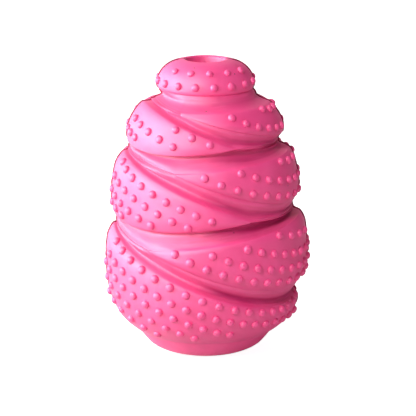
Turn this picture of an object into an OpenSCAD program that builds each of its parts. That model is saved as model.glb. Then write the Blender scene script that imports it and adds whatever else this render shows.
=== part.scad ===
// Treat-dispensing chew toy of soft rubber: a beehive of tilted, wedge-shaped lobes with nubs,
// moulded as two half shells round a hollow chamber and bonded along an upright seam.
// Origin: middle of the flat base. +Z is up, -Y is the front, and the seam lies in the plane Y = 0.

/* [Body] */
// Height from the base to the lip of the treat hole
body_h = 110; // [95:1:130]
// Diameter over the smooth lobes, without nubs
body_d = 74; // [68:0.2:90]
// How far the lower right lobe stands out beyond the others
lobe_bulge = 0.9; // [0:0.1:1.5]
// Diameter of the flat ring that the toy stands on
foot_d = 25.2; // [24:0.2:30]

/* [Grooves] */
// Depth of the deepest groove under the lobes
groove_depth = 3.9; // [2.5:0.1:4.5]
// How far the lower edge of a lobe curls in
lobe_curl = 2; // [0.5:0.1:2.5]
// Height of the curled part of a lobe
curl_h = 6.5; // [4:0.5:8]
// Height of the rounded upper edge of a lobe at the seam
lobe_edge = 4; // [2:0.5:5]
// Small step under a lobe where its groove starts
groove_step = 0.4; // [0.2:0.1:0.6]
// Height of the crest that is left where a lobe has run out
crest_h = 0.35; // [0.3:0.05:0.5]

/* [Nubs] */
// Diameter of a nub at the surface
nub_d = 3.3; // [2.6:0.1:3.6]
// How far a nub stands out of the surface
nub_h = 1.3; // [0.8:0.1:1.5]

/* [Openings] */
// Diameter of the treat hole in the top
treat_d = 14.7; // [12:0.1:16]
// Length of the treat hole down to the chamber
treat_neck = 11; // [8:0.5:13]
// Diameter of the hole in the base
base_d = 19; // [14:0.5:21]
// Thickness of the floor round the base hole
floor_t = 8; // [6:0.5:10]
// Largest diameter of the chamber
chamber_d = 52; // [40:1:56]

/* [Seam] */
// Thickness of the bond between the two shells
bond_t = 0.3; // [0.2:0.05:0.5]
// How far the bond stands out of the surface
bond_proud = 0.4; // [0.3:0.05:0.8]

/* [Hidden] */
$fn = 64;
// Steps of the surface from one seam to the other
sweep_steps = 30;
// Steps of the bond's rim from the foot to the lip, and round its rounded edge
rim_steps = 220;
rim_turns = 6;
// What a cut runs on beyond the surface
overrun = 1;

// Radius of the egg that the lobes follow, against the height: [height, radius] in shares of
// the body's height and of half its diameter
egg_share = [
    [0.045, 0.649], [0.06, 0.681], [0.073, 0.721], [0.091, 0.775], [0.109, 0.823], [0.127, 0.866],
    [0.145, 0.901], [0.168, 0.936], [0.191, 0.96], [0.218, 0.979], [0.245, 0.991], [0.282, 0.997],
    [0.318, 1], [0.355, 0.997], [0.391, 0.991], [0.427, 0.98], [0.464, 0.968], [0.509, 0.952],
    [0.545, 0.941], [0.582, 0.933], [0.609, 0.922], [0.636, 0.906], [0.664, 0.885], [0.691, 0.858],
    [0.718, 0.831], [0.745, 0.804], [0.776, 0.773], [0.796, 0.751], [0.818, 0.718], [0.838, 0.678],
    [0.859, 0.633], [0.877, 0.59], [0.895, 0.525], [0.907, 0.477]];
// The domed cap from the lip outwards, in the same shares
cap_share = [
    [1, 0.209], [0.9991, 0.247], [0.9936, 0.308], [0.982, 0.373], [0.963, 0.432], [0.942, 0.466],
    [0.925, 0.48], [0.91, 0.4785]];
// The cap's lower edge
cap_low_share = [0.9055, 0.472];
// The ring under the lobes, from the ledge down
base_share = [
    [0.08, 0.692], [0.0636, 0.65], [0.0473, 0.605], [0.0318, 0.563], [0.0173, 0.493], [0.0073, 0.42],
    [0.0018, 0.365]];

// Edges of the lobes from top to bottom. An edge is a tilted ring: mean height and tilt in shares
// of the body's height, and the angle of its highest point, from the right round the front.
// Each lobe: [upper edge, lower edge]
lobe_share = [
    [[0.857, 0.001, 0], [0.821, 0.067, 174]],
    [[0.76, 0.099, 166], [0.764, 0.042, -48]],
    [[0.677, 0.024, 0], [0.644, 0.109, -171]],
    [[0.566, 0.122, 178], [0.52, 0.047, -45]],
    [[0.439, 0.043, -8], [0.3855, 0.127, -154]],
    [[0.318, 0.129, -158], [0.0827, 0, 0]]];
// For each lobe: depth of the groove above it, curl of its lower edge, its bulge, what it loses
// per length once its edges have crossed, the most that it loses, and the rounding of its upper
// edge. The first and the fifth are shares of the deepest groove, the second of the curl, the
// third of the bulge, the last of the rounded edge.
lobe_form_share = [
    [0.41, 0.65, 0.35, 0.85, 1.03, 0.3],
    [0.92, 0.6, 0, 0.3, 0.95, 0.35],
    [1, 0.85, 0.1, 0.3, 0.79, 0.35],
    [0.9, 0.8, 0, 0.25, 0.77, 1],
    [0.97, 1.1, 1, 0.28, 0.77, 0.9],
    [1, 0.65, -0.1, 0.3, 0.77, 1.1]];
// Cross-sections of the grooves: [way down, depth] in shares of the groove's height and depth.
// A shelf groove drops at once and rises slowly; a ramp groove sinks slowly and ends steep.
shoulder_groove_share = [[0.25, 0.65], [0.5, 1.25], [0.75, 1.1], [0.92, 0.45]];
ramp_groove_share = [[0.2, 0.5], [0.45, 0.78], [0.68, 1], [0.88, 0.65]];
shelf_groove_share = [[0.15, 1], [0.4, 0.86], [0.65, 0.54], [0.88, 0.23]];
// Where a groove's step ends, as a share of the groove's height
step_share = 0.05;
// A lobe thinner than this share of the body's height starts to sink into its grooves
full_lobe_share = 0.082;
// What such a lobe loses before its edges cross, as a share of the deepest groove
thin_loss_share = 0.23;
// Rows across a lobe: through its rounded edge with the edge's drop, down its straight part, then
// through its curl with the curl's depth
edge_rows_share = [[0.35, 0.5], [1, 0.05]];
lobe_rows_share = [0.5];
curl_rows_share = [[1, 0], [0.55, 0.2], [0.2, 0.64]];
// Drop of a rounded edge against its height, and what is left of the rounding at the front
edge_drop_share = 0.45;
edge_front_share = 0.3;
// Most of a lobe that its rounded edge and its curl may take
edge_limit_share = 0.3;
curl_limit_share = 0.45;

// Rows of nubs: mean height and tilt in shares of the body's height, the angle of the row's
// highest point, the first angle, the step and the number of its nubs, and their size as a share
// of a nub's
nub_rows_share = [
    [0.9735, 0, 0, 137, 26.4, 5, 0.84],
    [0.932, 0, 0, 168, 22, 8, 0.9],
    [0.782, 0.096, 188, 113, 13.1, 3, 0.92],
    [0.728, 0.096, 188, 161, 11.9, 5, 0.92],
    [0.682, 0.096, 188, 170, 9.2, 3, 0.92],
    [0.974, 0.13, 191, 32, 12, 3, 0.9],
    [0.914, 0.13, 191, 67.5, 11, 6, 0.9],
    [0.816, 0.139, 194, 32, 10.8, 3, 0.92],
    [0.755, 0.139, 194, 67, 10, 7, 0.94],
    [0.696, 0.132, 196, 90.5, 10.3, 9, 0.94],
    [0.584, 0.122, 207, 161, 9.35, 9, 0.95],
    [0.524, 0.115, 204, 167, 9.5, 8, 0.95],
    [0.498, 0.1, 217, 170.5, 9.2, 6, 0.95],
    [0.459, 0.1, 217, 168.5, 8.6, 3, 0.95],
    [0.582, 0.154, 191, 43, 10.4, 4, 0.95],
    [0.522, 0.151, 196, 66, 8.75, 8, 0.97],
    [0.4845, 0.158, 204, 86, 8.7, 10, 0.97],
    [0.439, 0.153, 208, 107.5, 9.1, 12, 1],
    [0.319, 0.137, 210, 157.5, 9.4, 17, 0.98],
    [0.273, 0.13, 214, 162, 8.7, 18, 0.98],
    [0.223, 0.126, 216, 171.5, 8.9, 12, 0.98],
    [0.195, 0.128, 229, 170.5, 9.1, 9, 0.95],
    [0.15, 0.128, 235, 172, 9.2, 6, 0.92]];

half_d = body_d / 2;
lobe_count = len(lobe_share);
// Radius of the ball whose top is a nub
ball_r = (nub_d * nub_d / 4 + nub_h * nub_h) / (2 * nub_h);

function soft(x) = let (t = min(max(x, 0), 1)) t * t * (3 - 2 * t);
function mix(a, b, t) = a + (b - a) * t;
function egg(z) = half_d * lookup(z / body_h, egg_share);
function ring_z(ring, a) = body_h * (ring[0] + ring[1] * cos(a - ring[2]));
function placed(share) = [body_h * share[0], half_d * share[1]];

// How much lobe is left between its edges; below zero they have crossed
function lobe_left(i, a) = ring_z(lobe_share[i][0], a) - ring_z(lobe_share[i][1], a);
function lobe_mid(i, a) = (ring_z(lobe_share[i][0], a) + ring_z(lobe_share[i][1], a)) / 2;
function top_z(i, a) = lobe_mid(i, a) + max(lobe_left(i, a), crest_h) / 2;
function low_z(i, a) = i < 0 ? body_h * cap_low_share[0]
    : lobe_mid(i, a) - max(lobe_left(i, a), crest_h) / 2;
function fullness(i, a) = soft(lobe_left(i, a) / (full_lobe_share * body_h));
function sunk(i, a) = let (form = lobe_form_share[i]) min(
    groove_depth * thin_loss_share * (1 - fullness(i, a)) + max(-lobe_left(i, a), 0) * form[3],
    groove_depth * form[4]);
// Radius of a lobe's own surface
function lobe_r(i, a, z) = egg(z) + lobe_bulge * lobe_form_share[i][2] * fullness(i, a) - sunk(i, a);
// Height of the rounding of a lobe's upper edge, which is largest at the seam, and its drop
function edge_h(i, a) = lobe_edge * lobe_form_share[i][5] * mix(edge_front_share, 1, cos(a) * cos(a));
function edge_drop(i, a) = mix(crest_h, edge_h(i, a) * edge_drop_share, fullness(i, a));
function top_r(i, a) = lobe_r(i, a, top_z(i, a)) - edge_drop(i, a);
function low_r(i, a) = i < 0 ? half_d * cap_low_share[1]
    : lobe_left(i, a) < crest_h ? top_r(i, a)
    : lobe_r(i, a, low_z(i, a)) - lobe_curl * lobe_form_share[i][1] * fullness(i, a);

// Points [height, radius] down the groove above lobe i. Where a lobe has run out, the groove
// joins its low crest without standing out beside it.
function groove(i, a) =
    let (z0 = low_z(i - 1, a), r0 = low_r(i - 1, a), z1 = top_z(i, a), r1 = top_r(i, a),
        deep = groove_depth * lobe_form_share[i][0], r_step = r0 - groove_step,
        section = i == 0 ? shoulder_groove_share : i % 2 == 1 ? ramp_groove_share : shelf_groove_share)
    concat([[mix(z0, z1, step_share), r_step]],
        [for (p = section) let (z = mix(z0, z1, p[0])) [z, i == 0 ? mix(r0, r1, p[0]) - deep * p[1]
            : min(egg(z) - deep * p[1], max(mix(r_step, r1, p[0]), egg(z) - deep))]]);

// Points down the surface of lobe i
function lobe(i, a) =
    let (z0 = top_z(i, a), z1 = low_z(i, a), tall = z0 - z1,
        edge = min(edge_h(i, a), tall * edge_limit_share), curl = min(curl_h, tall * curl_limit_share),
        drop = lobe_r(i, a, z1) - low_r(i, a))
    concat([[z0, top_r(i, a)]],
        [for (q = edge_rows_share) let (z = z0 - edge * q[0])
            [z, lobe_r(i, a, z) - edge_drop(i, a) * q[1]]],
        [for (q = lobe_rows_share) let (z = z0 - edge - (tall - edge - curl) * q) [z, lobe_r(i, a, z)]],
        [for (q = curl_rows_share) let (z = z1 + curl * q[0]) [z, lobe_r(i, a, z) - drop * q[1]]],
        [[z1, low_r(i, a)]]);

// The whole outline at one angle, from the lip down to the foot
function outline(a) = concat(
    [for (p = cap_share) placed(p)], [[low_z(-1, a), low_r(-1, a)]],
    [for (i = [0:lobe_count - 1]) each concat(groove(i, a), lobe(i, a))],
    [for (p = base_share) placed(p)], [[0, foot_d / 2]]);

// The same points from the foot up, as a table for lookup()
function upward(points) = [for (i = [len(points) - 1:-1:0]) points[i]];

// Half of the solid body, which runs on beyond the seam
module half_body() {
    columns = [for (j = [0:sweep_steps]) let (a = 180 * j / sweep_steps)
        [for (p = outline(a)) [p[1] * cos(a), j % sweep_steps == 0 ? overrun : -p[1] * sin(a), p[0]]]];
    rows = len(columns[0]);
    last = sweep_steps;
    points = [for (column = columns) each column];
    skin = [for (j = [0:last - 1]) for (i = [0:rows - 2]) let (p = j * rows + i, q = p + rows)
        each [[p, p + 1, q + 1], [p, q + 1, q]]];
    back = concat([for (i = [0:rows - 1]) last * rows + i], [for (i = [rows - 1:-1:0]) i]);
    top = [for (j = [0:last]) j * rows];
    foot = [for (j = [last:-1:0]) j * rows + rows - 1];
    polyhedron(points, concat(skin, [back, top, foot]), convexity = 10);
}

// The chamber with its two holes
module hollow() {
    top = body_h - treat_neck;
    chamber_r = chamber_d / 2;
    treat_r = treat_d / 2;
    base_r = base_d / 2;
    tall = top - floor_t;
    rotate_extrude()
        polygon([[0, floor_t], [base_r, floor_t], [mix(base_r, chamber_r, 0.55), floor_t + tall * 0.03],
            [mix(base_r, chamber_r, 0.9), floor_t + tall * 0.1], [chamber_r, floor_t + tall * 0.22],
            [chamber_r, floor_t + tall * 0.42], [mix(treat_r, chamber_r, 0.86), floor_t + tall * 0.6],
            [mix(treat_r, chamber_r, 0.58), floor_t + tall * 0.77],
            [mix(treat_r, chamber_r, 0.25), floor_t + tall * 0.92], [treat_r, top], [0, top]]);
    translate([0, 0, top - overrun]) cylinder(h = treat_neck + overrun * 2, d = treat_d);
    translate([0, 0, -overrun]) cylinder(h = floor_t + overrun * 2, d = base_d);
}

// The nubs of the front half
module nubs() {
    for (row = nub_rows_share) {
        for (k = [0:row[5] - 1]) {
            a = row[3] - row[4] * k;
            z = ring_z(row, a);
            table = upward(outline(a));
            reach = nub_d / 4;
            lean = atan2(lookup(z - reach, table) - lookup(z + reach, table), 2 * reach);
            r = lookup(z, table);
            rotate([0, 0, -a]) translate([r, 0, z]) rotate([0, -lean, 0])
                translate([(nub_h - ball_r) * row[6], 0, 0]) sphere(r = ball_r * row[6]);
        }
    }
}

module half_shell() {
    difference() {
        union() {
            half_body();
            nubs();
        }
        hollow();
        translate([-body_d, -bond_t / 2, -overrun]) cube([body_d * 2, body_d, body_h + overrun * 2]);
    }
}

module front_shell() {
    color([0.96, 0.36, 0.62]) half_shell();
}

module rear_shell() {
    color([0.94, 0.34, 0.6]) mirror([0, 1, 0]) half_shell();
}

// Radius of the bond's rim, which stands out of the surface by the same length all along
function rim_r(z, table) = max([for (k = [-rim_turns:rim_turns]) let (turn = 90 * k / rim_turns)
    lookup(z + bond_proud * sin(turn), table) + bond_proud * cos(turn)]);

// A strip of the bond film, which stands out of the seam as a thin bead.
// side is 1 for the right strip and -1 for the left one.
module bond_strip(side) {
    table = upward(outline(side > 0 ? 0 : 180));
    rim = [for (k = [rim_steps:-1:0]) let (z = body_h * k / rim_steps) [side * rim_r(z, table), z]];
    difference() {
        translate([0, bond_t / 2, 0]) rotate([90, 0, 0]) linear_extrude(height = bond_t)
            polygon(concat([[0, body_h]], rim, [[0, 0]]));
        hollow();
    }
}

module left_seam_bond() {
    color([0.42, 0, 0.13]) bond_strip(-1);
}

module right_seam_bond() {
    color([0.42, 0, 0.13]) bond_strip(1);
}

front_shell();
rear_shell();
left_seam_bond();
right_seam_bond();
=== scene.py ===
import math
import bmesh
import bpy
import numpy as np
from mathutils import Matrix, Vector
from mathutils.kdtree import KDTree


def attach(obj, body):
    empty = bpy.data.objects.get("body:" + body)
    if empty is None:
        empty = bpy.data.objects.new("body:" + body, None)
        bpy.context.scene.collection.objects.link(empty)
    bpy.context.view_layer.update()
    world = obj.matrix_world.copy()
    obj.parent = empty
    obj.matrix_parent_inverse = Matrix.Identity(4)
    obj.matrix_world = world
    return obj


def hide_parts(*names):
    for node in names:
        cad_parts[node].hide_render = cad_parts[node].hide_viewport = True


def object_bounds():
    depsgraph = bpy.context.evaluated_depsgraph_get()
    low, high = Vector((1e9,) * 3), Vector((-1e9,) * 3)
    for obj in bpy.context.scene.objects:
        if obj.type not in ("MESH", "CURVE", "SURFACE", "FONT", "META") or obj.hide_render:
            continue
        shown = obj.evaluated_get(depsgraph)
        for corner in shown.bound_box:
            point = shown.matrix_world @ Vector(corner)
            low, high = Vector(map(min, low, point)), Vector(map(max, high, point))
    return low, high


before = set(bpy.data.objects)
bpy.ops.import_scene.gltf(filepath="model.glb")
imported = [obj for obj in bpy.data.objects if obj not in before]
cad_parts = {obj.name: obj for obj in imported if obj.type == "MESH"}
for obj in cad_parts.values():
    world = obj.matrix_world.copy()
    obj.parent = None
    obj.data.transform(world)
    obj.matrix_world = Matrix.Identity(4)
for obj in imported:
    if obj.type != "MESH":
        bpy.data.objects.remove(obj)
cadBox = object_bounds()
mm = 0.001  # the shapes below are worked out in millimetres
tiny = 1e-6  # keeps a length of nothing from dividing by zero
toyHeight = cadBox[1].z / mm
print("frame loaded, toy height", round(toyHeight, 1), "mm")

# Angles run from the right seam (0) round the front (90) to the left seam (180).
# Heights are shares of the toy's height, radii are shares of half its width.
bodyLook = {
    "width": 74.0,        # over the smooth lobes
    "bulge": 0.9,         # how far the lower right lobe stands out
    "footWidth": 25.2,    # flat ring that the toy stands on
    "grooveDepth": 3.9,   # deepest groove
    "curl": 2.0,          # how far a lobe's lower edge curls in
    "curlHeight": 6.5,
    "curlMost": 0.45,     # most of a thin lobe's height that it may take
    "edge": 4.0,          # height of a lobe's rounded upper edge at the seam
    "edgeMost": 0.3,      # most of a thin lobe's height that it may take
    "edgeFront": 0.3,     # what is left of that edge at the front
    "edgeDrop": 0.45,     # its drop against its height
    "step": 0.4,          # small step under a lobe
    "stepShare": 0.05,    # its height, of the groove's
    "crest": 0.35,        # height left where a lobe has run out
    "thinShare": 0.082,   # a lobe thinner than this starts to sink
    "thinLoss": 0.23,     # what it has lost by then, of the deepest groove
    "columns": 150,       # round half of the toy
}
halfWidth = bodyLook["width"] / 2
eggShares = np.array([
    (0.045, 0.649), (0.06, 0.681), (0.073, 0.721), (0.091, 0.775), (0.109, 0.823), (0.127, 0.866),
    (0.145, 0.901), (0.168, 0.936), (0.191, 0.96), (0.218, 0.979), (0.245, 0.991), (0.282, 0.997),
    (0.318, 1), (0.355, 0.997), (0.391, 0.991), (0.427, 0.98), (0.464, 0.968), (0.509, 0.952),
    (0.545, 0.941), (0.582, 0.933), (0.609, 0.922), (0.636, 0.906), (0.664, 0.885), (0.691, 0.858),
    (0.718, 0.831), (0.745, 0.804), (0.776, 0.773), (0.796, 0.751), (0.818, 0.718), (0.838, 0.678),
    (0.859, 0.633), (0.877, 0.59), (0.895, 0.525), (0.907, 0.477)])
capShares = [
    (1, 0.209), (0.9991, 0.247), (0.9936, 0.308), (0.982, 0.373), (0.963, 0.432),
    (0.942, 0.466), (0.925, 0.48), (0.91, 0.4785)]
capEdgeShare = (0.9055, 0.472)
footShares = [
    (0.08, 0.694), (0.0636, 0.656), (0.0473, 0.617), (0.0318, 0.576), (0.0173, 0.507),
    (0.0073, 0.43), (0.0018, 0.368)]

# Lobes from top to bottom. An edge is a tilted ring: mean height, tilt, angle of its highest point.
# depth (of the groove above), curl, bulge and edge are shares of those in bodyLook. Once a lobe's
# edges have crossed, it sinks by loss for each mm, up to mostLoss of the deepest groove. ridge is
# how sharp its upper edge is.
lobes = [
    {"groove": "shoulder", "top": (0.857, 0.001, 0), "low": (0.821, 0.067, 174), "depth": 0.41,
     "curl": 0.65, "bulge": 0.35, "loss": 0.85, "mostLoss": 1.03, "edge": 0.3, "ridge": 0.3},
    {"groove": "ramp", "top": (0.76, 0.099, 166), "low": (0.764, 0.042, -48), "depth": 0.92,
     "curl": 0.6, "bulge": 0, "loss": 0.3, "mostLoss": 0.95, "edge": 0.35, "ridge": 0.15},
    {"groove": "shelf", "top": (0.677, 0.024, 0), "low": (0.644, 0.109, -171), "depth": 1,
     "curl": 0.85, "bulge": 0.1, "loss": 0.3, "mostLoss": 0.79, "edge": 0.35, "ridge": 0.7},
    {"groove": "ramp", "top": (0.566, 0.122, 178), "low": (0.52, 0.047, -45), "depth": 0.9,
     "curl": 0.8, "bulge": 0, "loss": 0.25, "mostLoss": 0.77, "edge": 1, "ridge": 0.15},
    {"groove": "shelf", "top": (0.439, 0.043, -8), "low": (0.3855, 0.127, -154), "depth": 0.97,
     "curl": 1.1, "bulge": 1, "loss": 0.28, "mostLoss": 0.77, "edge": 0.9, "ridge": 0.7},
    {"groove": "ramp", "top": (0.318, 0.129, -158), "low": (0.0827, 0, 0), "depth": 1,
     "curl": 0.65, "bulge": -0.1, "loss": 0.3, "mostLoss": 0.77, "edge": 1.1, "ridge": 0.15},
]
# Groove sections: way down, depth. A shelf drops at once and rises slowly; a ramp sinks slowly.
grooveShares = {
    "shoulder": [(0.25, 0.65), (0.5, 1.25), (0.75, 1.1), (0.92, 0.45)],
    "ramp": [(0.2, 0.5), (0.45, 0.78), (0.68, 1), (0.8, 0.9), (0.92, 0.5)],
    "shelf": [(0.14, 0.97), (0.24, 1), (0.45, 0.8), (0.7, 0.46), (0.9, 0.2)],
}
# Towards the right seam a shelf becomes a pocket, which stays deep up to its ridge
pocketLook = {
    "depths": (0.97, 1.08, 1.15, 1.0, 0.6),   # at the knots of a shelf
    "begins": 95, "growth": 45,   # degrees
    "ends": 2, "fall": 12,
}
edgeShares = [(0.35, 0.5), (1, 0.05)]   # way down a lobe's rounded edge, drop that is left
faceShares = (0.3, 0.65)                # way down its plain face
curlShares = [(1, 0), (0.7, 0.09), (0.4, 0.36), (0.15, 0.72)]   # way up its curl, share of the curl
# Rows of points from a knot of the outline to the next one
rowCount = {"curve": 3, "edge": 2, "corner": 1, "neck": 4}
# How sharp each corner of the outline is: 0 is a smooth curve, 1 a sharp edge
cornerLook = {
    "capEdge": 0.8,
    "step": 0.5,
    "lobeFoot": 0.9,
    "foot": 0.5,
    "hole": 0.5,
    "floor": 0.8,
    "neck": 0.4,
}
# The most shade that a groove gives its colours. The pocket beyond the middle left lobe's tip is
# the darkest one.
shadeLook = {
    "plain": 0.65,
    "pocket": 1.1,
    "begins": 102, "growth": 35,   # degrees
    "upperShare": 0.4,             # of the pockets in the upper half
    "upperFrom": 0.5, "upperBlend": 0.1,
}
seamLook = {
    "gap": 0.3,          # between the half shells, as in the frame
    "rounding": 0.42,    # of the half shells' edges
    "evenRounds": 3,     # of evening out the outline's direction, for that rounding
    "columns": (0, 0.07, 0.17, 0.3, 0.45, 0.7),   # how far the first ones lie from its face
    "columnTurn": 0.02,  # degrees from the seam to the first of them
    "columnStep": 0.3,   # degrees between them
    "leadIn": 0.5,       # degrees from them to the even columns
    "leadOut": 1.5,
    "rearFallLeft": 2.0,   # how much lower the rear half's ridges meet the seam
    "rearFallRight": 1.1,
    "rearFallCap": 0.4,
    "fallFlat": 10,        # degrees from the seam that have the full fall
    "fallReach": 34,       # degrees over which it runs out
    "capFallFrom": 0.955,  # share of the height at which the cap's fall begins
    "capFallOver": 0.03,
    "capFallTurn": 1.2,    # how soon it is reached away from the seam
}


def soft(x):
    t = np.clip(x, 0, 1)
    return t * t * (3 - 2 * t)


def mix(a, b, t):
    return a + (b - a) * t


def eggRadius(z):
    return halfWidth * np.interp(z / toyHeight, eggShares[:, 0], eggShares[:, 1])


def ringHeight(ring, angle):
    return toyHeight * (ring[0] + ring[1] * np.cos(np.radians(angle - ring[2])))


def rearFall(angle):
    flat, reach = seamLook["fallFlat"], seamLook["fallReach"]
    right = seamLook["rearFallRight"] * (1 - soft((angle - flat) / reach))
    left = seamLook["rearFallLeft"] * (1 - soft((180 - flat - angle) / reach))
    return right + left


def capFall(share, angle, rear):
    # The cap and the lip of its hole are a little lower at the rear
    if not rear:
        return 0 * angle
    up = soft((share - seamLook["capFallFrom"]) / seamLook["capFallOver"])
    return seamLook["rearFallCap"] * up * soft(seamLook["capFallTurn"] * np.sin(np.radians(angle)))


def pocketShare(angle):
    grown = soft((pocketLook["begins"] - angle) / pocketLook["growth"])
    return grown * soft((angle - pocketLook["ends"]) / pocketLook["fall"])


def lobeSurface(lobe, z, fullness, sunk):
    return eggRadius(z) + bodyLook["bulge"] * lobe["bulge"] * fullness - sunk


def lobeState(lobe, angle, rear):
    top = ringHeight(lobe["top"], angle)
    if rear:
        top = top - rearFall(angle)
    low = ringHeight(lobe["low"], angle)
    left = top - low
    half = np.maximum(left, bodyLook["crest"]) / 2
    middle = (top + low) / 2
    deepest = bodyLook["grooveDepth"]
    fullness = soft(left / (bodyLook["thinShare"] * toyHeight))
    sunk = deepest * bodyLook["thinLoss"] * (1 - fullness) + np.maximum(-left, 0) * lobe["loss"]
    sunk = np.minimum(sunk, deepest * lobe["mostLoss"])
    across = np.cos(np.radians(angle)) ** 2
    edge = bodyLook["edge"] * lobe["edge"] * mix(bodyLook["edgeFront"], 1, across)
    drop = mix(bodyLook["crest"], edge * bodyLook["edgeDrop"], fullness)
    state = {"top": middle + half, "low": middle - half, "fullness": fullness, "sunk": sunk,
             "edge": edge, "drop": drop}
    state["topRadius"] = lobeSurface(lobe, state["top"], fullness, sunk) - drop
    lowRadius = lobeSurface(lobe, state["low"], fullness, sunk)
    lowRadius = lowRadius - bodyLook["curl"] * lobe["curl"] * fullness
    state["lowRadius"] = np.where(left < bodyLook["crest"], state["topRadius"], lowRadius)
    return state


def knotAdder(knots, angle):
    # Each knot: height, radius, sharpness of the corner, rows of points up to the next knot
    def add(z, r, rows, sharp=0.0):
        knots.append((z + 0 * angle, r + 0 * angle, sharp + 0 * angle, rowCount[rows]))

    return add


def outlineKnots(angle, rear):
    knots = []
    add = knotAdder(knots, angle)
    for z, r in capShares:
        add(toyHeight * z - capFall(z, angle, rear), halfWidth * r, "curve")
    above = {"low": toyHeight * capEdgeShare[0], "lowRadius": halfWidth * capEdgeShare[1]}
    add(above["low"], above["lowRadius"], "corner", cornerLook["capEdge"])
    for lobe in lobes:
        state = lobeState(lobe, angle, rear)
        z0, r0 = above["low"], above["lowRadius"]
        z1, r1 = state["top"], state["topRadius"]
        depth = bodyLook["grooveDepth"] * lobe["depth"]
        step = mix(z0, z1, bodyLook["stepShare"])
        add(step, r0 - bodyLook["step"], "edge", cornerLook["step"])
        for k, (down, deep) in enumerate(grooveShares[lobe["groove"]]):
            z = mix(z0, z1, down)
            if lobe["groove"] == "shelf":
                deep = mix(deep, pocketLook["depths"][k], pocketShare(angle))
            if lobe["groove"] == "shoulder":
                r = mix(r0, r1, down) - depth * deep
            else:
                # where a lobe has run out, the groove joins its low crest without standing out
                flank = np.maximum(mix(r0 - bodyLook["step"], r1, down), eggRadius(z) - depth)
                r = np.minimum(eggRadius(z) - depth * deep, flank)
            add(z, r, "curve")
        tall = z1 - state["low"]
        edge = np.minimum(state["edge"], tall * bodyLook["edgeMost"])
        curl = np.minimum(bodyLook["curlHeight"], tall * bodyLook["curlMost"])
        fullness, sunk = state["fullness"], state["sunk"]
        add(z1, r1, "edge", lobe["ridge"] * fullness)
        for down, lost in edgeShares:
            z = z1 - edge * down
            add(z, lobeSurface(lobe, z, fullness, sunk) - state["drop"] * lost, "edge")
        for down in faceShares:
            z = z1 - edge - (tall - edge - curl) * down
            add(z, lobeSurface(lobe, z, fullness, sunk), "curve")
        under = lobeSurface(lobe, state["low"], fullness, sunk) - state["lowRadius"]
        for up, lost in curlShares:
            z = state["low"] + curl * up
            add(z, lobeSurface(lobe, z, fullness, sunk) - under * lost, "edge")
        add(state["low"], state["lowRadius"], "corner", cornerLook["lobeFoot"] * fullness)
        above = state
    for z, r in footShares:
        add(toyHeight * z, halfWidth * r, "edge")
    add(0, bodyLook["footWidth"] / 2, "corner", cornerLook["foot"])
    return knots


hollowLook = {
    "treatHole": 14.7,   # width
    "neck": 11.0,        # length of the treat hole
    "baseHole": 19.0,    # width
    "floor": 8.0,        # thickness
    "chamber": 52.0,     # width
    "lipEdge": 0.35,
    "baseEdge": 0.5,
    # the chamber's wall: way up, way out from the hole in the base, and then from the treat hole
    "lowerWall": [(0.03, 0.55), (0.1, 0.9), (0.22, 1.0), (0.42, 1.0)],
    "upperWall": [(0.6, 0.86), (0.77, 0.58), (0.92, 0.25)],
}


def hollowKnots(angle, rear):
    knots = []
    add = knotAdder(knots, angle)
    top = toyHeight - hollowLook["neck"]
    floor = hollowLook["floor"]
    tall = top - floor
    treat, base = hollowLook["treatHole"] / 2, hollowLook["baseHole"] / 2
    wide = hollowLook["chamber"] / 2
    add(0, base + hollowLook["baseEdge"], "corner", cornerLook["hole"])
    add(hollowLook["baseEdge"], base, "curve", cornerLook["hole"])
    add(floor, base, "edge", cornerLook["floor"])
    for hole, wall in ((base, hollowLook["lowerWall"]), (treat, hollowLook["upperWall"])):
        for up, out in wall:
            add(floor + tall * up, mix(hole, wide, out), "curve")
    add(top, treat, "neck", cornerLook["neck"])
    lip = toyHeight - hollowLook["lipEdge"] - capFall(1, angle, rear)
    add(lip, treat, "corner", cornerLook["hole"])
    return knots


def smoothRows(knots, closed):
    # Curves through the knots, with straight runs into the sharp ones
    points = np.array([(z, r) for z, r, sharp, rows in knots]).transpose(0, 2, 1)
    sharps = np.array([sharp for z, r, sharp, rows in knots])[:, :, None]
    counts = [rows for z, r, sharp, rows in knots]
    if closed:
        points = np.concatenate([points, points[:1]])
        sharps = np.concatenate([sharps, sharps[:1]])
    spans = np.diff(points, axis=0)
    lengths = np.maximum(np.linalg.norm(spans, axis=2, keepdims=True), tiny)
    slopes = spans / lengths
    first, last = (slice(-1, None), slice(0, 1)) if closed else (slice(0, 1), slice(-1, None))
    arriving = np.concatenate([slopes[first], slopes])
    leaving = np.concatenate([slopes, slopes[last]])
    before = np.concatenate([lengths[first], lengths])
    after = np.concatenate([lengths, lengths[last]])
    smooth = (arriving * after + leaving * before) / (before + after)
    starts = mix(smooth, leaving, sharps)[:-1]
    ends = mix(smooth, arriving, sharps)[1:]
    out = []
    for k, count in enumerate(counts[:len(spans)]):
        for s in range(count):
            t = s / count
            out.append((2 * t**3 - 3 * t**2 + 1) * points[k]
                       + (t**3 - 2 * t**2 + t) * lengths[k] * starts[k]
                       + (3 * t**2 - 2 * t**3) * points[k + 1]
                       + (t**3 - t**2) * lengths[k] * ends[k])
    if not closed:
        out.append(points[-1])
    return np.array(out)


def columnPlaces():
    # Angles of the columns, and the least distance of each from the middle plane
    step = 180 / bodyLook["columns"]
    seam = seamLook["columns"]
    near = [seamLook["columnTurn"] + seamLook["columnStep"] * k for k in range(len(seam))]
    last = 180 - seamLook["leadOut"] - near[-1]
    even = list(np.arange(near[-1] + seamLook["leadIn"], last, step))
    angles = near + even + [180 - a for a in reversed(near)]
    least = np.zeros(len(angles))
    least[:len(seam)] = [seamLook["gap"] / 2 + d for d in seam]
    least[-len(seam):] = least[:len(seam)][::-1]
    return np.array(angles), least


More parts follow.
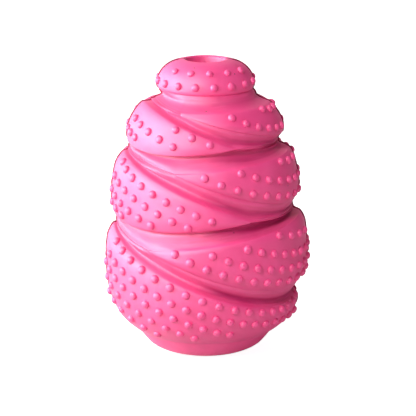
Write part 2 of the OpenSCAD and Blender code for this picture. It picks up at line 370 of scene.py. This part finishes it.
def newPiece(name, points, faces):
    # A closed mesh of points in metres, with its faces turned outwards
    mesh = bpy.data.meshes.new(name)
    mesh.from_pydata(points, [], faces)
    work = bmesh.new()
    work.from_mesh(mesh)
    bmesh.ops.recalc_face_normals(work, faces=work.faces)
    work.to_mesh(mesh)
    work.free()
    piece = bpy.data.objects.new(name, mesh)
    bpy.context.scene.collection.objects.link(piece)
    return piece


def grooveShade(z, r, angles, rear):
    upper = soft((z / toyHeight - shadeLook["upperFrom"]) / shadeLook["upperBlend"])
    pocket = soft((shadeLook["begins"] - angles) / shadeLook["growth"])[None, :]
    pocket = pocket * mix(1, shadeLook["upperShare"], upper)
    most = mix(shadeLook["plain"], shadeLook["pocket"], pocket)
    shade = np.clip((eggRadius(z) - r) / bodyLook["grooveDepth"], 0, most)
    shade[(z > toyHeight * capEdgeShare[0]) | (z < toyHeight * footShares[0][0])] = 0
    skinRows = sum(knot[3] for knot in outlineKnots(angles[:1], rear))
    shade[skinRows:] = 0   # nothing in the hollow
    return shade


def shellMesh(name, rear):
    angles, least = columnPlaces()
    loop = smoothRows(outlineKnots(angles, rear) + hollowKnots(angles, rear), True)
    z, r = loop[:, :, 0], loop[:, :, 1]
    along = np.roll(loop, -1, axis=0) - np.roll(loop, 1, axis=0)
    for _ in range(seamLook["evenRounds"]):
        along = (np.roll(along, 1, axis=0) + along + np.roll(along, -1, axis=0)) / 3
    along = along / np.maximum(np.linalg.norm(along, axis=2, keepdims=True), tiny)
    # the columns near the seam stop at its flat face, and the edge into that face is rounded
    y = np.maximum(r * np.sin(np.radians(angles))[None, :], least[None, :])
    turn = np.clip(1 - (y - seamLook["gap"] / 2) / seamLook["rounding"], 0, 1)
    sink = seamLook["rounding"] * (1 - np.sqrt(1 - turn * turn))
    zPlace = z - along[:, :, 1] * sink
    rPlace = r + along[:, :, 0] * sink
    atSeam = turn > 0
    xSeam = np.sqrt(np.maximum(rPlace**2 - y**2, 0)) * np.where(angles < 90, 1, -1)[None, :]
    x = np.where(atSeam, xSeam, r * np.cos(np.radians(angles))[None, :])
    side = 1 if rear else -1
    co = np.stack([x, side * y, np.maximum(zPlace, 0)], axis=-1) * mm
    rows, columns = x.shape
    index = np.arange(rows * columns).reshape(rows, columns)
    nextRow = np.roll(index, -1, axis=0)
    quads = np.stack([index[:, :-1], index[:, 1:], nextRow[:, 1:], nextRow[:, :-1]], axis=-1)
    faces = quads.reshape(-1, 4).tolist() + [index[:, 0].tolist(), index[:, -1].tolist()]
    piece = newPiece(name, co.reshape(-1, 3).tolist(), faces)
    # where each point lies: mm down the outline, mm round the toy, and how deep in a groove
    down = np.cumsum(np.linalg.norm(np.diff(loop, axis=0, prepend=loop[:1]), axis=2).mean(axis=1))
    places = {
        "down": np.repeat(down[:, None], columns, axis=1),
        "round": np.repeat(np.radians(angles)[None, :] * halfWidth * side, rows, axis=0),
        # the groove depth is capped by shadeLook: it sets the painted groove shade, and where the
        # streaks lie
        "groove": grooveShade(z, r, angles, rear),
    }
    return piece, co.reshape(-1, 3), {key: value.reshape(-1) for key, value in places.items()}


nubLook = {
    "width": 3.2,
    "height": 1.3,
    "sunk": 1.0,        # how deep a nub is rooted in the shell
    "sides": 28,
    "leans": (10, 22, 34, 46, 58, 70, 80),   # degrees up its side
    "sideFullness": 0.85,   # 1 is an ellipse, less is fuller
    "topFullness": 0.95,
    "vary": 0.05,       # of its width; twice that of its height
    "seed": 11,
    "probeTurn": 1,     # degrees and mm over which the skin's slope is read
    "probeLift": 0.8,
    "shadeReach": 1.25,   # how far out its colour fades away, in its own half widths
    "crease": 32,       # degrees from which an edge is drawn crisp
}
# Rows of nubs: mean height, tilt, angle of the row's highest point, first angle, step, count, size
nubRows = [
    (0.9735, 0, 0, 137, 26.4, 5, 0.84), (0.932, 0, 0, 168, 22, 8, 0.9),
    (0.782, 0.096, 188, 113, 13.1, 3, 0.92), (0.728, 0.096, 188, 161, 11.9, 5, 0.92),
    (0.682, 0.096, 188, 170, 9.2, 3, 0.92),
    (0.974, 0.13, 191, 32, 12, 3, 0.9), (0.914, 0.13, 191, 67.5, 11, 6, 0.9),
    (0.816, 0.139, 194, 32, 10.8, 3, 0.92), (0.755, 0.139, 194, 67, 10, 7, 0.94),
    (0.696, 0.132, 196, 90.5, 10.3, 9, 0.94),
    (0.584, 0.122, 207, 161, 9.35, 9, 0.95), (0.524, 0.115, 204, 167, 9.5, 8, 0.95),
    (0.498, 0.1, 217, 170.5, 9.2, 6, 0.95), (0.459, 0.1, 217, 168.5, 8.6, 3, 0.95),
    (0.582, 0.154, 191, 43, 10.4, 4, 0.95), (0.522, 0.151, 196, 66, 8.75, 8, 0.97),
    (0.4845, 0.158, 204, 86, 8.7, 10, 0.97), (0.439, 0.153, 208, 107.5, 9.1, 12, 1.0),
    (0.319, 0.137, 210, 157.5, 9.4, 17, 0.98), (0.273, 0.13, 214, 162, 8.7, 18, 0.98),
    (0.223, 0.126, 216, 171.5, 8.9, 12, 0.98), (0.195, 0.128, 229, 170.5, 9.1, 9, 0.95),
    (0.15, 0.128, 235, 172, 9.2, 6, 0.92)]
# Rows that differ at the rear, by their place above: the cap's first one lies lower, between the
# nubs of the second, and the sixth has only a nub by the seam
rearRows = {0: (0.957, 0, 0, 135, 22, 5, 0.84), 5: (0.974, 0.13, 191, 8, 12, 1, 0.9)}


def nubSection():
    # Radius and height from the rooted rim up to the top
    radius, height = nubLook["width"] / 2, nubLook["height"]
    section = [(radius, -nubLook["sunk"]), (radius, 0.0)]
    for lean in nubLook["leans"]:
        t = math.radians(lean)
        section.append((radius * math.cos(t) ** nubLook["sideFullness"],
                        height * math.sin(t) ** nubLook["topFullness"]))
    return section


def nubPlaces(rear):
    found = []
    rows = [rearRows.get(k, row) if rear else row for k, row in enumerate(nubRows)]
    for mean, tilt, high, first, step, count, size in rows:
        angle = first - step * np.arange(count)
        found += list(zip(angle, ringHeight((mean, tilt, high), angle), [size] * count))
    angle, height, size = np.array(found).T

    def pointAt(a, z):
        skin = smoothRows(outlineKnots(a, rear), False)[::-1]
        r = np.array([np.interp(level, skin[:, k, 0], skin[:, k, 1]) for k, level in enumerate(z)])
        side = 1 if rear else -1
        turn = np.radians(a)
        return np.stack([r * np.cos(turn), side * r * np.sin(turn), z], axis=-1)

    place = pointAt(angle, height)
    turnBy, liftBy = nubLook["probeTurn"], nubLook["probeLift"]
    across = pointAt(angle + turnBy, height) - pointAt(angle - turnBy, height)
    upward = pointAt(angle, height + liftBy) - pointAt(angle, height - liftBy)
    across /= np.linalg.norm(across, axis=1, keepdims=True)
    upward /= np.linalg.norm(upward, axis=1, keepdims=True)
    normal = np.cross(across, upward)
    normal /= np.linalg.norm(normal, axis=1, keepdims=True)
    outward = np.sign((normal * place * (1, 1, 0)).sum(axis=1))
    return place, normal * outward[:, None], across, size


def nubMesh(name, rear):
    place, normal, across, sizes = nubPlaces(rear)
    draw = np.random.default_rng(nubLook["seed"] + rear)
    sides = nubLook["sides"]
    section = nubSection()
    turn = np.arange(sides) * 2 * math.pi / sides
    points, faces = [], []
    for p, n, u, size in zip(place, normal, across, sizes):
        v = np.cross(n, u)
        wide = size * (1 + nubLook["vary"] * draw.uniform(-1, 1))
        tall = size * (1 + nubLook["vary"] * 2 * draw.uniform(-1, 1))
        base = len(points)
        for radius, height in section:
            lift = height * tall if height > 0 else height
            spread = np.cos(turn)[:, None] * u + np.sin(turn)[:, None] * v
            points += list(p + radius * wide * spread + lift * n)
        points.append(p + nubLook["height"] * tall * n)
        for k in range(len(section) - 1):
            for s in range(sides):
                a, b = base + k * sides + s, base + k * sides + (s + 1) % sides
                faces.append((a, b, b + sides, a + sides))
        last = base + (len(section) - 1) * sides
        for s in range(sides):
            faces.append((last + s, last + (s + 1) % sides, len(points) - 1))
        faces.append(tuple(base + s for s in reversed(range(sides))))
    return newPiece(name, (np.array(points) * mm).tolist(), faces)


def joinSolids(piece, other):
    change = piece.modifiers.new("nubs", "BOOLEAN")
    change.operation = "UNION"
    change.solver = "MANIFOLD"
    change.object = other
    graph = bpy.context.evaluated_depsgraph_get()
    joined = bpy.data.meshes.new_from_object(piece.evaluated_get(graph))
    piece.modifiers.clear()
    piece.data = joined
    bpy.data.objects.remove(other)


def markPlaces(piece, points, places, rear):
    # The materials read these attributes; they are set once the nubs are joined on
    near = KDTree(len(points))
    for k, point in enumerate(points):
        near.insert(point, k)
    near.balance()
    co = np.empty(len(piece.data.vertices) * 3)
    piece.data.vertices.foreach_get("co", co)
    co = co.reshape(-1, 3)
    index = np.array([near.find(point)[1] for point in co])
    places = {key: value[index] for key, value in places.items()}
    top = nubPlaces(rear)[0] * mm
    away = np.min([np.linalg.norm(co - p, axis=1) for p in top], axis=0)
    places["nub"] = soft(nubLook["shadeReach"] - away / (nubLook["width"] / 2 * mm))
    for key, value in places.items():
        layer = piece.data.attributes.new(key, "FLOAT", "POINT")
        layer.data.foreach_set("value", value.astype(np.float32))


def makeShell(name, rear):
    shell, points, places = shellMesh(name, rear)
    joinSolids(shell, nubMesh(name + "Nubs", rear))
    markPlaces(shell, points, places, rear)
    for polygon in shell.data.polygons:
        polygon.use_smooth = True
    shell.data.set_sharp_from_angle(angle=math.radians(nubLook["crease"]))
    triangles = sum(len(p.vertices) - 2 for p in shell.data.polygons)
    print(name, "made,", triangles, "triangles")
    return shell


bondLook = {
    "proud": 0.4,      # how far it stands out of the seam
    "edgeProud": 0.7,  # share of that at its edges
    "levels": 441,     # points down its rim
    "leans": 13,       # directions in which the skin is grown to make the rim
}


def makeBond(name, seamAngle):
    # A strip that fills the seam from the chamber outwards and stands out of it as a thin bead
    angle = np.array([seamAngle])
    inside = smoothRows(hollowKnots(angle, False), False)[:, 0]
    level = np.linspace(toyHeight, 0, bondLook["levels"])
    lean = np.radians(np.linspace(-90, 90, bondLook["leans"]))[:, None]

    def rim(proud):
        # the outer one of both skins, grown by the same length all along
        radius = 0
        for rear in (False, True):
            skin = smoothRows(outlineKnots(angle, rear), False)[::-1, 0]
            grown = np.interp(level + proud * np.sin(lean), skin[:, 0], skin[:, 1])
            radius = np.maximum(radius, (grown + proud * np.cos(lean)).max(axis=0))
        return radius

    sign = 1 if seamAngle < 90 else -1
    half = seamLook["gap"] / 2
    points = []
    for y, share in ((-half, bondLook["edgeProud"]), (0, 1), (half, bondLook["edgeProud"])):
        skin = np.stack([level, rim(bondLook["proud"] * share)], axis=-1)
        loop = np.concatenate([skin, np.clip(inside, 0, toyHeight)])
        points += [(sign * r * mm, y * mm, z * mm) for z, r in loop]
    count = len(level) + len(inside)
    faces = [(k + row, (k + 1) % count + row, count + (k + 1) % count + row, count + k + row)
             for row in (0, count) for k in range(count)]
    faces += [tuple(range(count)), tuple(range(3 * count - 1, 2 * count - 1, -1))]
    piece = newPiece(name, points, faces)
    print(name, "made")
    return piece


frontShell = makeShell("frontShell", False)
rearShell = makeShell("rearShell", True)
leftBond = makeBond("leftBond", 180.0)
rightBond = makeBond("rightBond", 0.0)


def newGroup(name, inputs, outputs):
    group = bpy.data.node_groups.new(name, "ShaderNodeTree")
    for label, kind, value in inputs:
        socket = group.interface.new_socket(label, in_out="INPUT", socket_type=kind)
        if value is not None:
            socket.default_value = value
    for label, kind in outputs:
        group.interface.new_socket(label, in_out="OUTPUT", socket_type=kind)
    return group, group.nodes.new("NodeGroupInput"), group.nodes.new("NodeGroupOutput")


def fillInputs(tree, node, links):
    # links: input name or number -> output socket or plain value
    for key, source in links.items():
        if isinstance(source, bpy.types.NodeSocket):
            tree.links.new(source, node.inputs[key])
        else:
            node.inputs[key].default_value = source


def addNode(tree, kind, links=None, **values):
    node = tree.nodes.new(kind)
    for key, value in values.items():
        setattr(node, key, value)
    fillInputs(tree, node, links or {})
    return node


def calc(tree, operation, a, b=None, c=None):
    links = {k: v for k, v in enumerate((a, b, c)) if v is not None}
    return addNode(tree, "ShaderNodeMath", links, operation=operation).outputs[0]


def vectorCalc(tree, operation, a, b):
    return addNode(tree, "ShaderNodeVectorMath", {0: a, 1: b}, operation=operation).outputs


def blendColour(tree, factor, a, b):
    # the Mix node keeps its colours in inputs 6 and 7, and the result in output 2
    return addNode(tree, "ShaderNodeMix", {0: factor, 6: a, 7: b}, data_type="RGBA").outputs[2]


def ramp(tree, value, low, high):
    # 0 below low, 1 above high, soft between
    return addNode(tree, "ShaderNodeMapRange", {"Value": value, "From Min": low, "From Max": high},
                   interpolation_type="SMOOTHSTEP").outputs[0]


# Sizes and heights in the groups are in metres but for the streaks'. A pair is where a mask begins
# and where it is full.
skinLook = {
    "peelSize": 0.0006,
    "peelHeight": 0.00001,
    "waveSize": 0.009,
    "waveHeight": 0.00005,
    "mottle": (0.32, 0.68),
}


def makeSkinGroup():
    # Orange peel and slow unevenness of a moulded skin
    group, given, out = newGroup("mouldedSkin", [
        ("Vector", "NodeSocketVector", None),
        ("Peel Size", "NodeSocketFloat", skinLook["peelSize"]),
        ("Peel Height", "NodeSocketFloat", skinLook["peelHeight"]),
        ("Wave Size", "NodeSocketFloat", skinLook["waveSize"]),
        ("Wave Height", "NodeSocketFloat", skinLook["waveHeight"])],
        [("Height", "NodeSocketFloat"), ("Mottle", "NodeSocketFloat")])
    fine = calc(group, "DIVIDE", 1.0, given.outputs["Peel Size"])
    slow = calc(group, "DIVIDE", 1.0, given.outputs["Wave Size"])
    peel = addNode(group, "ShaderNodeTexNoise", {
        "Vector": given.outputs["Vector"], "Scale": fine, "Detail": 2.0, "Roughness": 0.55})
    wave = addNode(group, "ShaderNodeTexNoise", {
        "Vector": given.outputs["Vector"], "Scale": slow, "Detail": 3.0, "Roughness": 0.6,
        "Distortion": 0.4})
    peelUp = calc(group, "MULTIPLY", peel.outputs[0], given.outputs["Peel Height"])
    height = calc(group, "MULTIPLY_ADD", wave.outputs[0], given.outputs["Wave Height"], peelUp)
    group.links.new(height, out.inputs["Height"])
    group.links.new(ramp(group, wave.outputs[0], *skinLook["mottle"]), out.inputs["Mottle"])
    return group


streakLook = {
    "length": 16.0,   # mm
    "width": 0.55,    # mm
    "spread": 0.25,   # share of the streaks that lies outside the grooves
    "line": (0.3, 0.72),
    "patch": (0.38, 0.6),
    "groove": (0.1, 0.5),
    "patchScale": (0.7, 0.12, 1.0),   # against a streak's, so patches are longer and wider
}


def makeStreakGroup():
    # Flow streaks that run along the grooves, where the rubber crept round the mould
    group, given, out = newGroup("flowStreaks", [
        ("Round", "NodeSocketFloat", 0.0), ("Down", "NodeSocketFloat", 0.0),
        ("Groove", "NodeSocketFloat", 0.0),
        ("Length", "NodeSocketFloat", streakLook["length"]),
        ("Width", "NodeSocketFloat", streakLook["width"]),
        ("Spread", "NodeSocketFloat", streakLook["spread"])],
        [("Streak", "NodeSocketFloat"), ("Amount", "NodeSocketFloat")])
    along = calc(group, "DIVIDE", given.outputs["Round"], given.outputs["Length"])
    across = calc(group, "DIVIDE", given.outputs["Down"], given.outputs["Width"])
    place = addNode(group, "ShaderNodeCombineXYZ", {0: along, 1: across, 2: 0.0})
    streak = addNode(group, "ShaderNodeTexNoise", {
        "Vector": place.outputs[0], "Scale": 1.0, "Detail": 3.0, "Roughness": 0.65,
        "Distortion": 0.15})
    patchPlace = vectorCalc(group, "MULTIPLY", place.outputs[0], streakLook["patchScale"])[0]
    patch = addNode(group, "ShaderNodeTexNoise", {
        "Vector": patchPlace, "Scale": 1.0, "Detail": 1.0})
    grooved = ramp(group, given.outputs["Groove"], *streakLook["groove"])
    where = calc(group, "MAXIMUM", grooved, given.outputs["Spread"])
    patchy = ramp(group, patch.outputs[0], *streakLook["patch"])
    line = ramp(group, streak.outputs[0], *streakLook["line"])
    group.links.new(line, out.inputs["Streak"])
    group.links.new(calc(group, "MULTIPLY", patchy, where), out.inputs["Amount"])
    return group


fleckLook = {
    "spacing": 0.005,
    "size": 0.00045,
    "share": 0.25,    # of the places that have one
    "bend": (0.0003, 0.0003, 0.0003),
    "bendScale": 1600.0,
    "edge": (0.6, 1.1),
    "least": 0.001,   # keeps a speck of no size from dividing by zero
}


def makeFleckGroup():
    # Sparse specks and nicks, each a small dark spot of its own size
    group, given, out = newGroup("flecks", [
        ("Vector", "NodeSocketVector", None),
        ("Spacing", "NodeSocketFloat", fleckLook["spacing"]),
        ("Size", "NodeSocketFloat", fleckLook["size"]),
        ("Share", "NodeSocketFloat", fleckLook["share"])],
        [("Mask", "NodeSocketFloat")])
    bent = addNode(group, "ShaderNodeTexNoise", {
        "Vector": given.outputs["Vector"], "Scale": fleckLook["bendScale"], "Detail": 1.0})
    shift = vectorCalc(group, "MULTIPLY", bent.outputs[1], fleckLook["bend"])[0]
    place = vectorCalc(group, "ADD", given.outputs["Vector"], shift)[0]
    spots = addNode(group, "ShaderNodeTexVoronoi", {
        "Vector": place, "Scale": calc(group, "DIVIDE", 1.0, given.outputs["Spacing"])})
    split = addNode(group, "ShaderNodeSeparateColor", {0: spots.outputs["Color"]})
    chosen = calc(group, "LESS_THAN", split.outputs[0], given.outputs["Share"])
    reach = calc(group, "MULTIPLY", split.outputs[1], given.outputs["Size"])
    reach = calc(group, "DIVIDE", reach, given.outputs["Spacing"])
    reach = calc(group, "MAXIMUM", reach, fleckLook["least"])
    near = calc(group, "DIVIDE", spots.outputs["Distance"], reach)
    spot = calc(group, "SUBTRACT", 1.0, ramp(group, near, *fleckLook["edge"]))
    group.links.new(calc(group, "MULTIPLY", spot, chosen), out.inputs["Mask"])
    return group


seamShadeLook = {"width": 0.0006, "edge": (0.25, 1.0)}


def makeSeamGroup():
    # 1 at the seam between the half shells, 0 beyond the given width
    group, given, out = newGroup("seamShade", [
        ("Vector", "NodeSocketVector", None),
        ("Width", "NodeSocketFloat", seamShadeLook["width"])],
        [("Mask", "NodeSocketFloat")])
    split = addNode(group, "ShaderNodeSeparateXYZ", {0: given.outputs["Vector"]})
    away = calc(group, "DIVIDE", calc(group, "ABSOLUTE", split.outputs[1]), given.outputs["Width"])
    beyond = ramp(group, away, *seamShadeLook["edge"])
    group.links.new(calc(group, "SUBTRACT", 1.0, beyond), out.inputs["Mask"])
    return group


def placeGroup(tree, group, links):
    return addNode(tree, "ShaderNodeGroup", links, node_tree=group).outputs


def newMaterial(name):
    material = bpy.data.materials.new(name)
    material.use_nodes = True
    tree = material.node_tree
    shader = next(n for n in tree.nodes if n.type == "BSDF_PRINCIPLED")
    return material, tree, shader


skinGroup = makeSkinGroup()
streakGroup = makeStreakGroup()
fleckGroup = makeFleckGroup()
seamGroup = makeSeamGroup()
print("shared node groups made")

rubberLook = {
    "pink": (0.87, 0.036, 0.226, 1),
    "paler": (0.91, 0.05, 0.255, 1),
    # painted shade: a darker, redder pink laid into the grooves, more of it the deeper the groove,
    # for the shade that falls there
    "grooveShadeColour": (0.46, 0.005, 0.11, 1),
    # painted shade: the darkest pink, for the shadow in the pocket under the middle left lobe's tip
    "deepest": (0.24, 0.001, 0.05, 1),
    "streakLight": (0.95, 0.13, 0.38, 1),
    "streakDark": (0.68, 0.014, 0.12, 1),
    "fleck": (0.2, 0.01, 0.04, 1),
    "seamShade": (0.2, 0.002, 0.02, 1),
    "grooveShadeShare": 0.5,   # how far the skin takes on each of these colours
    "pocketShadeShare": 0.62,
    "onStreak": 0.22,
    "onNub": 0.1,
    "onFleck": 1.0,
    "onSeam": 0.92,
    "pocket": (0.68, 1.02),   # depths of groove at which a pocket begins and is full
    "streakSpread": 0.06,
    "streakHeight": 0.00002,
    "fleckHeight": -0.0001,
    "seamWidth": 0.0009,
    "roughness": 0.56,
    "mottleRough": 0.06,
    "streakRough": 0.1,
    "specular": 1.0,
    "pocketSpecular": -0.8,   # change in a pocket: little of the room reaches its gloss
    "ior": 1.62,
    "subsurface": 0.03,
    "subsurfaceRadius": (1.0, 0.25, 0.4),
    "subsurfaceScale": 0.003,
}


def addBump(tree, shader, height):
    bump = addNode(tree, "ShaderNodeBump", {"Height": height, "Strength": 1.0, "Distance": 1.0})
    tree.links.new(bump.outputs[0], shader.inputs["Normal"])


def makeRubber():
    material, tree, shader = newMaterial("pinkRubber")
    spot = addNode(tree, "ShaderNodeTexCoord").outputs["Object"]
    where = {key: addNode(tree, "ShaderNodeAttribute", attribute_name=key).outputs["Fac"]
             for key in ("round", "down", "groove", "nub")}
    skin = placeGroup(tree, skinGroup, {"Vector": spot})
    streak = placeGroup(tree, streakGroup, {
        "Round": where["round"], "Down": where["down"], "Groove": where["groove"],
        "Spread": rubberLook["streakSpread"]})
    fleck = placeGroup(tree, fleckGroup, {"Vector": spot})
    seam = placeGroup(tree, seamGroup, {"Vector": spot, "Width": rubberLook["seamWidth"]})
    # mask of the deepest grooves, which take the painted pocket shadow and less gloss
    pocket = ramp(tree, where["groove"], *rubberLook["pocket"])
    lines = blendColour(tree, streak["Streak"], rubberLook["streakDark"], rubberLook["streakLight"])
    colour = blendColour(tree, skin["Mottle"], rubberLook["pink"], rubberLook["paler"])
    # the first two blends are painted shade: darker pink in the grooves, and the darkest pink in
    # the pocket
    for mask, share, other in (
            (where["groove"], rubberLook["grooveShadeShare"], rubberLook["grooveShadeColour"]),
            (pocket, rubberLook["pocketShadeShare"], rubberLook["deepest"]),
            (streak["Amount"], rubberLook["onStreak"], lines),
            (where["nub"], rubberLook["onNub"], rubberLook["paler"]),
            (fleck["Mask"], rubberLook["onFleck"], rubberLook["fleck"]),
            (seam["Mask"], rubberLook["onSeam"], rubberLook["seamShade"])):
        colour = blendColour(tree, calc(tree, "MULTIPLY", mask, share), colour, other)
    line = calc(tree, "MULTIPLY", streak["Amount"], streak["Streak"])
    rough = calc(tree, "MULTIPLY_ADD", skin["Mottle"], rubberLook["mottleRough"],
                 rubberLook["roughness"])
    lift = calc(tree, "MULTIPLY_ADD", line, rubberLook["streakHeight"], skin["Height"])
    lift = calc(tree, "MULTIPLY_ADD", fleck["Mask"], rubberLook["fleckHeight"], lift)
    addBump(tree, shader, lift)
    fillInputs(tree, shader, {
        "Base Color": colour,
        "Roughness": calc(tree, "MULTIPLY_ADD", line, rubberLook["streakRough"], rough),
        "Specular IOR Level": calc(tree, "MULTIPLY_ADD", pocket, rubberLook["pocketSpecular"],
                                   rubberLook["specular"]),
        "IOR": rubberLook["ior"],
        "Subsurface Weight": rubberLook["subsurface"],
        "Subsurface Radius": rubberLook["subsurfaceRadius"],
        "Subsurface Scale": rubberLook["subsurfaceScale"]})
    return material


bondFinish = {
    "colour": (0.24, 0.004, 0.04, 1),
    "worn": (0.4, 0.012, 0.08, 1),
    "roughness": 0.6,
    "mottleRough": 0.15,
    "waveSize": 0.004,
}


def makeBondMaterial():
    material, tree, shader = newMaterial("seamBond")
    spot = addNode(tree, "ShaderNodeTexCoord").outputs["Object"]
    skin = placeGroup(tree, skinGroup, {"Vector": spot, "Wave Size": bondFinish["waveSize"]})
    addBump(tree, shader, skin["Height"])
    fillInputs(tree, shader, {
        "Base Color": blendColour(tree, skin["Mottle"], bondFinish["colour"], bondFinish["worn"]),
        "Roughness": calc(tree, "MULTIPLY_ADD", skin["Mottle"], bondFinish["mottleRough"],
                          bondFinish["roughness"])})
    return material


rubber = makeRubber()
bondMaterial = makeBondMaterial()
print("materials made")

for piece, node, slot, material in (
        (frontShell, "front_shell", "rubber", rubber),
        (rearShell, "rear_shell", "rubber", rubber),
        (leftBond, "left_seam_bond", "seam", bondMaterial),
        (rightBond, "right_seam_bond", "seam", bondMaterial)):
    piece.data.materials.clear()
    piece.data.materials.append(material)
    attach(piece, "root")
    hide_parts(node)
print("pieces ride on the frame")

floorLook = {
    "width": 7.0,
    "colour": (0.62, 0.62, 0.62, 1),
    "roughness": 0.9,
    "glow": 0.92,                   # the white of the background, for the rays that look at it
    "litWay": (-0.9, 0.45, 0.0),    # gloss shows it to the left of the toy and behind it
    "litEdge": (-0.02, 0.02),
}


def makeFloor():
    mesh = bpy.data.meshes.new("floor")
    half = floorLook["width"] / 2
    corners = [(-half, -half, 0), (half, -half, 0), (half, half, 0), (-half, half, 0)]
    mesh.from_pydata(corners, [], [(0, 1, 2, 3)])
    floor = bpy.data.objects.new("floor", mesh)
    bpy.context.scene.collection.objects.link(floor)
    material, tree, shader = newMaterial("paleFloor")
    fillInputs(tree, shader, {
        "Base Color": floorLook["colour"], "Roughness": floorLook["roughness"],
        "Specular IOR Level": 0.0})
    path = addNode(tree, "ShaderNodeLightPath").outputs
    spot = addNode(tree, "ShaderNodeTexCoord").outputs["Object"]
    way = vectorCalc(tree, "DOT_PRODUCT", spot, floorLook["litWay"])["Value"]
    lit = calc(tree, "MULTIPLY", path["Is Glossy Ray"], ramp(tree, way, *floorLook["litEdge"]))
    seen = calc(tree, "MAXIMUM", path["Is Camera Ray"], lit)
    seen = calc(tree, "MAXIMUM", seen, path["Is Transmission Ray"])
    glow = addNode(tree, "ShaderNodeEmission", {
        "Color": (1, 1, 1, 1), "Strength": calc(tree, "MULTIPLY", seen, floorLook["glow"])})
    both = addNode(tree, "ShaderNodeAddShader", {0: shader.outputs[0], 1: glow.outputs[0]})
    result = next(n for n in tree.nodes if n.type == "OUTPUT_MATERIAL")
    tree.links.new(both.outputs[0], result.inputs["Surface"])
    floor.data.materials.append(material)


makeFloor()

lightLook = {
    "ambient": 0.2,
    "room": 0.05,                     # dim room in front and to the right, for gloss only
    "backdrop": 1.0,                  # white backdrop behind and to the left, for gloss only
    "backdropWay": (-0.7, 0.7, 0.0),
    "backdropEdge": (0.1, 0.6),
    # name, direction to it (azimuth from the front, elevation), distance, width, height, watts
    "lamps": [
        ("key", -80, 22, 1.0, 0.16, 0.16, 6.0),
        ("front", -26, 34, 1.0, 0.2, 0.2, 6.2),
        ("top", -60, 66, 1.0, 0.3, 0.3, 1.8),
        ("bank", -84, 8, 1.0, 1.8, 0.9, 7.0),
        ("sheet", -94, 3, 1.0, 2.3, 0.9, 42.0),
        ("fill", 62, 4, 1.0, 0.4, 0.4, 2.0),
        ("back", 165, 45, 1.1, 0.6, 0.6, 0.8),
    ],
    "seenInGloss": ("key", "front", "top", "bank", "sheet"),
    "onlyInGloss": ("sheet",),
}


def makeWorld():
    world = bpy.data.worlds.new("studio")
    bpy.context.scene.world = world
    world.use_nodes = True
    tree = world.node_tree
    backdrop = next(n for n in tree.nodes if n.type == "BACKGROUND")
    path = addNode(tree, "ShaderNodeLightPath").outputs
    direction = addNode(tree, "ShaderNodeTexCoord").outputs["Generated"]
    way = vectorCalc(tree, "DOT_PRODUCT", direction, lightLook["backdropWay"])["Value"]
    mirrored = addNode(tree, "ShaderNodeMapRange", {
        "Value": ramp(tree, way, *lightLook["backdropEdge"]),
        "To Min": lightLook["room"], "To Max": lightLook["backdrop"]}).outputs[0]
    # inputs 2 and 3 of the Mix node are its plain values
    strength = addNode(tree, "ShaderNodeMix", {
        0: path["Is Glossy Ray"], 2: lightLook["ambient"], 3: mirrored}).outputs[0]
    seen = calc(tree, "MAXIMUM", path["Is Camera Ray"], path["Is Transmission Ray"])
    fillInputs(tree, backdrop, {
        "Color": (1, 1, 1, 1), "Strength": calc(tree, "MAXIMUM", strength, seen)})


def makeLamps():
    middle = Vector((0, 0, toyHeight * mm / 2))
    for name, turn, lift, away, width, height, watts in lightLook["lamps"]:
        lamp = bpy.data.lights.new(name, "AREA")
        lamp.shape = "RECTANGLE"
        lamp.size, lamp.size_y, lamp.energy = width, height, watts
        holder = bpy.data.objects.new(name, lamp)
        a, e = math.radians(turn), math.radians(lift)
        toLamp = Vector((math.sin(a) * math.cos(e), -math.cos(a) * math.cos(e), math.sin(e)))
        holder.location = middle + toLamp * away
        holder.rotation_euler = toLamp.to_track_quat("Z", "Y").to_euler()
        holder.visible_glossy = name in lightLook["seenInGloss"]
        holder.visible_diffuse = name not in lightLook["onlyInGloss"]
        bpy.context.scene.collection.objects.link(holder)


makeWorld()
makeLamps()
print("floor, world and lamps made")

cameraLook = {
    "elevation": 14.5,
    "distance": 0.92,
    "aim": (0.0009, 0, 0.053405),
    "pixelsPerMm": 2.6882,   # at the aim
    "pictureWidth": 416,     # pixels
    "sensor": 36,
}


def makeCamera():
    data = bpy.data.cameras.new("camera")
    data.sensor_width = cameraLook["sensor"]
    reach = cameraLook["pixelsPerMm"] * cameraLook["distance"] / mm
    data.lens = reach * cameraLook["sensor"] / cameraLook["pictureWidth"]
    camera = bpy.data.objects.new("camera", data)
    lift = math.radians(cameraLook["elevation"])
    away = Vector((0, -math.cos(lift), math.sin(lift)))
    camera.location = Vector(cameraLook["aim"]) + away * cameraLook["distance"]
    camera.rotation_euler = away.to_track_quat("Z", "Y").to_euler()
    bpy.context.scene.collection.objects.link(camera)
    bpy.context.scene.camera = camera


makeCamera()
bpy.context.scene.view_settings.view_transform = "Standard"
print("camera placed")
